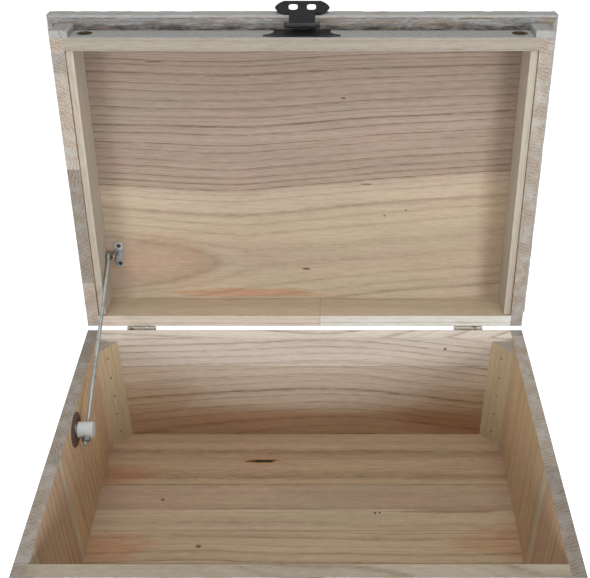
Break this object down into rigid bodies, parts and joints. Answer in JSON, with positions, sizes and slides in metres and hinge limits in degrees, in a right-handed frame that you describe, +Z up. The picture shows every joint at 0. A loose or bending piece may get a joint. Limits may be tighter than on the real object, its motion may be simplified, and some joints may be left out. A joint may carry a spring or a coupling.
{
  "type": "storage bench",
  "caption": "Low wooden storage bench: an open box with a hinged framed lid, a sliding lid stay on the left wall and a hinged hasp flap over its catch.",
  "frame": {"origin": "centre of the box's underside, on the floor", "axes": "+Z up, -Y the front with the catch, +X to the right as seen from the front; the lid is open"},
  "size_m": [0.623, 0.5497, 0.6211],
  "materials": {
    "pale_wood": "unfinished, sanded",
    "washed_wood": "grey wash, worn",
    "black_steel": "satin black",
    "hinge_steel": "aged plating",
    "zinc_steel": "zinc plated",
    "brad_steel": "dull",
    "white_nylon": "smooth",
    "brown_fibre": "speckled"
  },
  "bodies": {
    "box": {"box_front_boards": "pale_wood", "box_back_boards": "pale_wood", "box_left_side": "pale_wood", "box_right_side": "pale_wood", "bottom_boards": "pale_wood", "corner_block_left": "pale_wood", "corner_block_right": "pale_wood", "corner_block_brads": "brad_steel", "box_front_strip_left": "washed_wood", "box_front_strip_right": "washed_wood", "hinge_box_leaf_left": "hinge_steel", "hinge_box_leaf_right": "hinge_steel", "hinge_pins": "hinge_steel", "hinge_box_screws": "hinge_steel", "catch_plate": "black_steel", "catch_staples": "black_steel", "catch_screws": "black_steel", "stay_backing_disc": "brown_fibre", "stay_flange": "zinc_steel", "stay_pivot_screw": "zinc_steel"},
    "lid": {"lid_top_panel": "pale_wood", "lid_front_rail": "pale_wood", "lid_back_rail": "pale_wood", "lid_left_side": "pale_wood", "lid_right_side": "pale_wood", "lid_left_batten": "pale_wood", "lid_right_batten": "pale_wood", "front_moulding": "washed_wood", "left_moulding": "washed_wood", "right_moulding": "washed_wood", "lid_front_strip_left": "washed_wood", "lid_front_strip_right": "washed_wood", "hinge_lid_leaf_left": "hinge_steel", "hinge_lid_leaf_right": "hinge_steel", "hinge_lid_screws": "hinge_steel", "hasp_base_plate": "black_steel", "hasp_pin": "black_steel", "hasp_screws": "black_steel", "stay_bracket": "zinc_steel", "stay_bracket_rivet": "zinc_steel", "stay_bracket_screws": "zinc_steel"},
    "hasp": {"hasp_flap": "black_steel"},
    "stay_guide": {"stay_barrel": "white_nylon"},
    "stay_slider": {"stay_rod": "zinc_steel", "stay_eye_rivet": "zinc_steel", "stay_nut": "zinc_steel"}
  },
  "joints": [
    {"name": "lid_hinge", "type": "hinge", "parent": "box", "child": "lid", "pos_m": [0, 0.2035, 0.2004], "axis": [1, 0, 0], "range_deg": [0, 98]},
    {"name": "hasp_hinge", "type": "hinge", "parent": "lid", "child": "hasp", "pos_m": [0, 0.27835, 0.60795], "axis": [1, 0, 0], "range_deg": [0, 157.5]},
    {"name": "stay_swivel", "type": "hinge", "parent": "box", "child": "stay_guide", "pos_m": [-0.27, 0.032, 0.178], "axis": [1, 0, 0], "range_deg": [0, 12.25]},
    {"name": "stay_slide", "type": "slide", "parent": "stay_guide", "child": "stay_slider", "axis": [0, -0.9048, -0.4258], "range_m": [0, 0.1443]}
  ],
  "couplings": [
    {"joint": "stay_swivel", "follows": "lid_hinge", "ratio": 0.12493},
    {"joint": "stay_slide", "follows": "lid_hinge", "m_per_rad": 0.084331}
  ]
}
